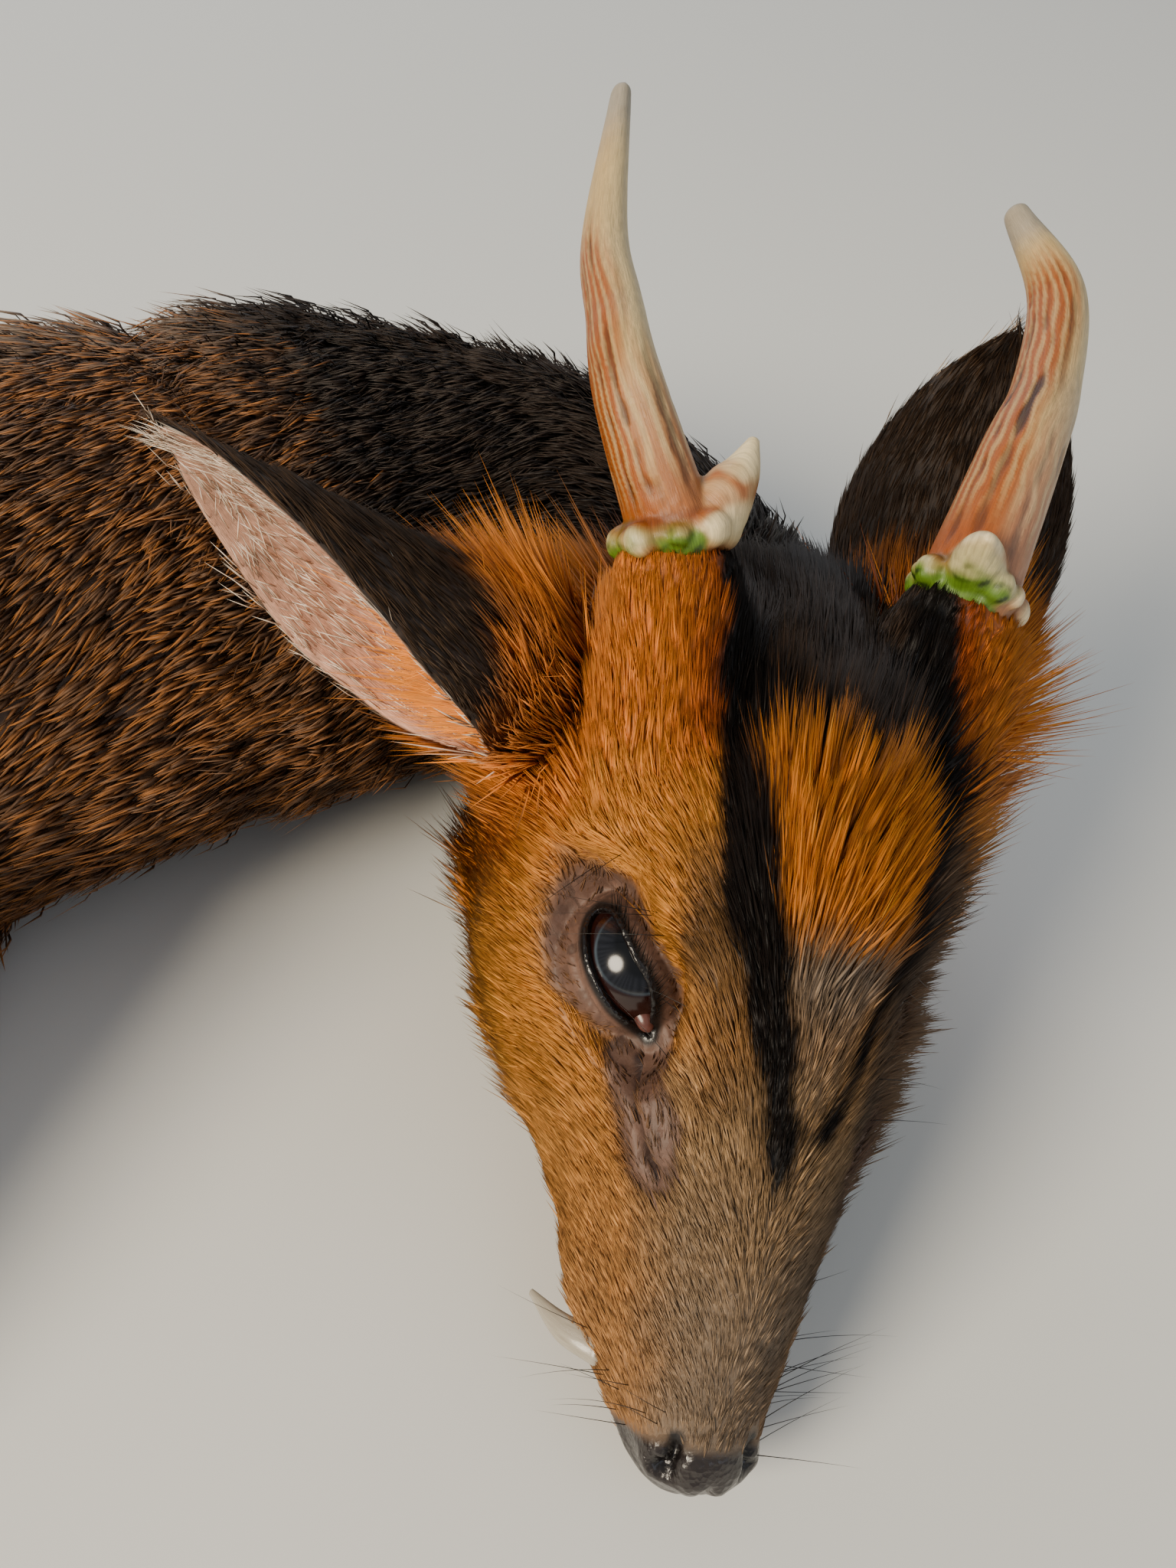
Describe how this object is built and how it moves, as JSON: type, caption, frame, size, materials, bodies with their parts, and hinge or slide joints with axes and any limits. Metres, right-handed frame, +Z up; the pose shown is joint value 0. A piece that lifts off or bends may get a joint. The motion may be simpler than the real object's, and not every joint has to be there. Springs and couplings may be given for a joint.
{
  "type": "muntjac deer",
  "caption": "Life-size Reeves' muntjac buck lying still on its left side, head upright on its chin, with short hooked antlers, a small tusk, cupped ears and folded legs.",
  "frame": {"origin": "middle of the footprint, on the floor", "axes": "+X along the trunk's long reach towards the head, +Y away from the legs, +Z up; the head points to -Y"},
  "size_m": [0.7158, 0.5672, 0.1781],
  "materials": {
    "coat": "short dense hair, brown with ochre ticking",
    "face": "short golden to sandy hair with black bands on the brow",
    "ear": "thin skin, bare and pale inside, haired behind",
    "eye": "wet and glossy, near black",
    "nose": "moist dark bare skin",
    "antler": "worn bone, ivory with brown grooves",
    "tusk": "ivory enamel",
    "hoof": "dark horn"
  },
  "bodies": {
    "root": {"beam_l": "antler", "beam_r": "antler", "brow_tine_l": "antler", "brow_tine_r": "antler", "burr_l": "antler", "burr_r": "antler", "ear_l": "ear", "ear_r": "ear", "eye_l": "eye", "eye_r": "eye", "fore_left_dewclaw_inner": "hoof", "fore_left_dewclaw_outer": "hoof", "fore_left_hoof_inner": "hoof", "fore_left_hoof_outer": "hoof", "fore_left_lower": "coat", "fore_left_upper": "coat", "fore_right_dewclaw_inner": "hoof", "fore_right_dewclaw_outer": "hoof", "fore_right_hoof_inner": "hoof", "fore_right_hoof_outer": "hoof", "fore_right_lower": "coat", "fore_right_upper": "coat", "head": "face", "hind_left_dewclaw_inner": "hoof", "hind_left_dewclaw_outer": "hoof", "hind_left_hoof_inner": "hoof", "hind_left_hoof_outer": "hoof", "hind_left_lower": "coat", "hind_left_middle": "coat", "hind_left_upper": "coat", "hind_right_dewclaw_inner": "hoof", "hind_right_dewclaw_outer": "hoof", "hind_right_hoof_inner": "hoof", "hind_right_hoof_outer": "hoof", "hind_right_lower": "coat", "hind_right_middle": "coat", "hind_right_upper": "coat", "jaw": "face", "neck": "coat", "nose_pad": "nose", "tail": "coat", "torso": "coat", "tusk_l": "tusk", "tusk_r": "tusk"}
  },
  "joints": []
}
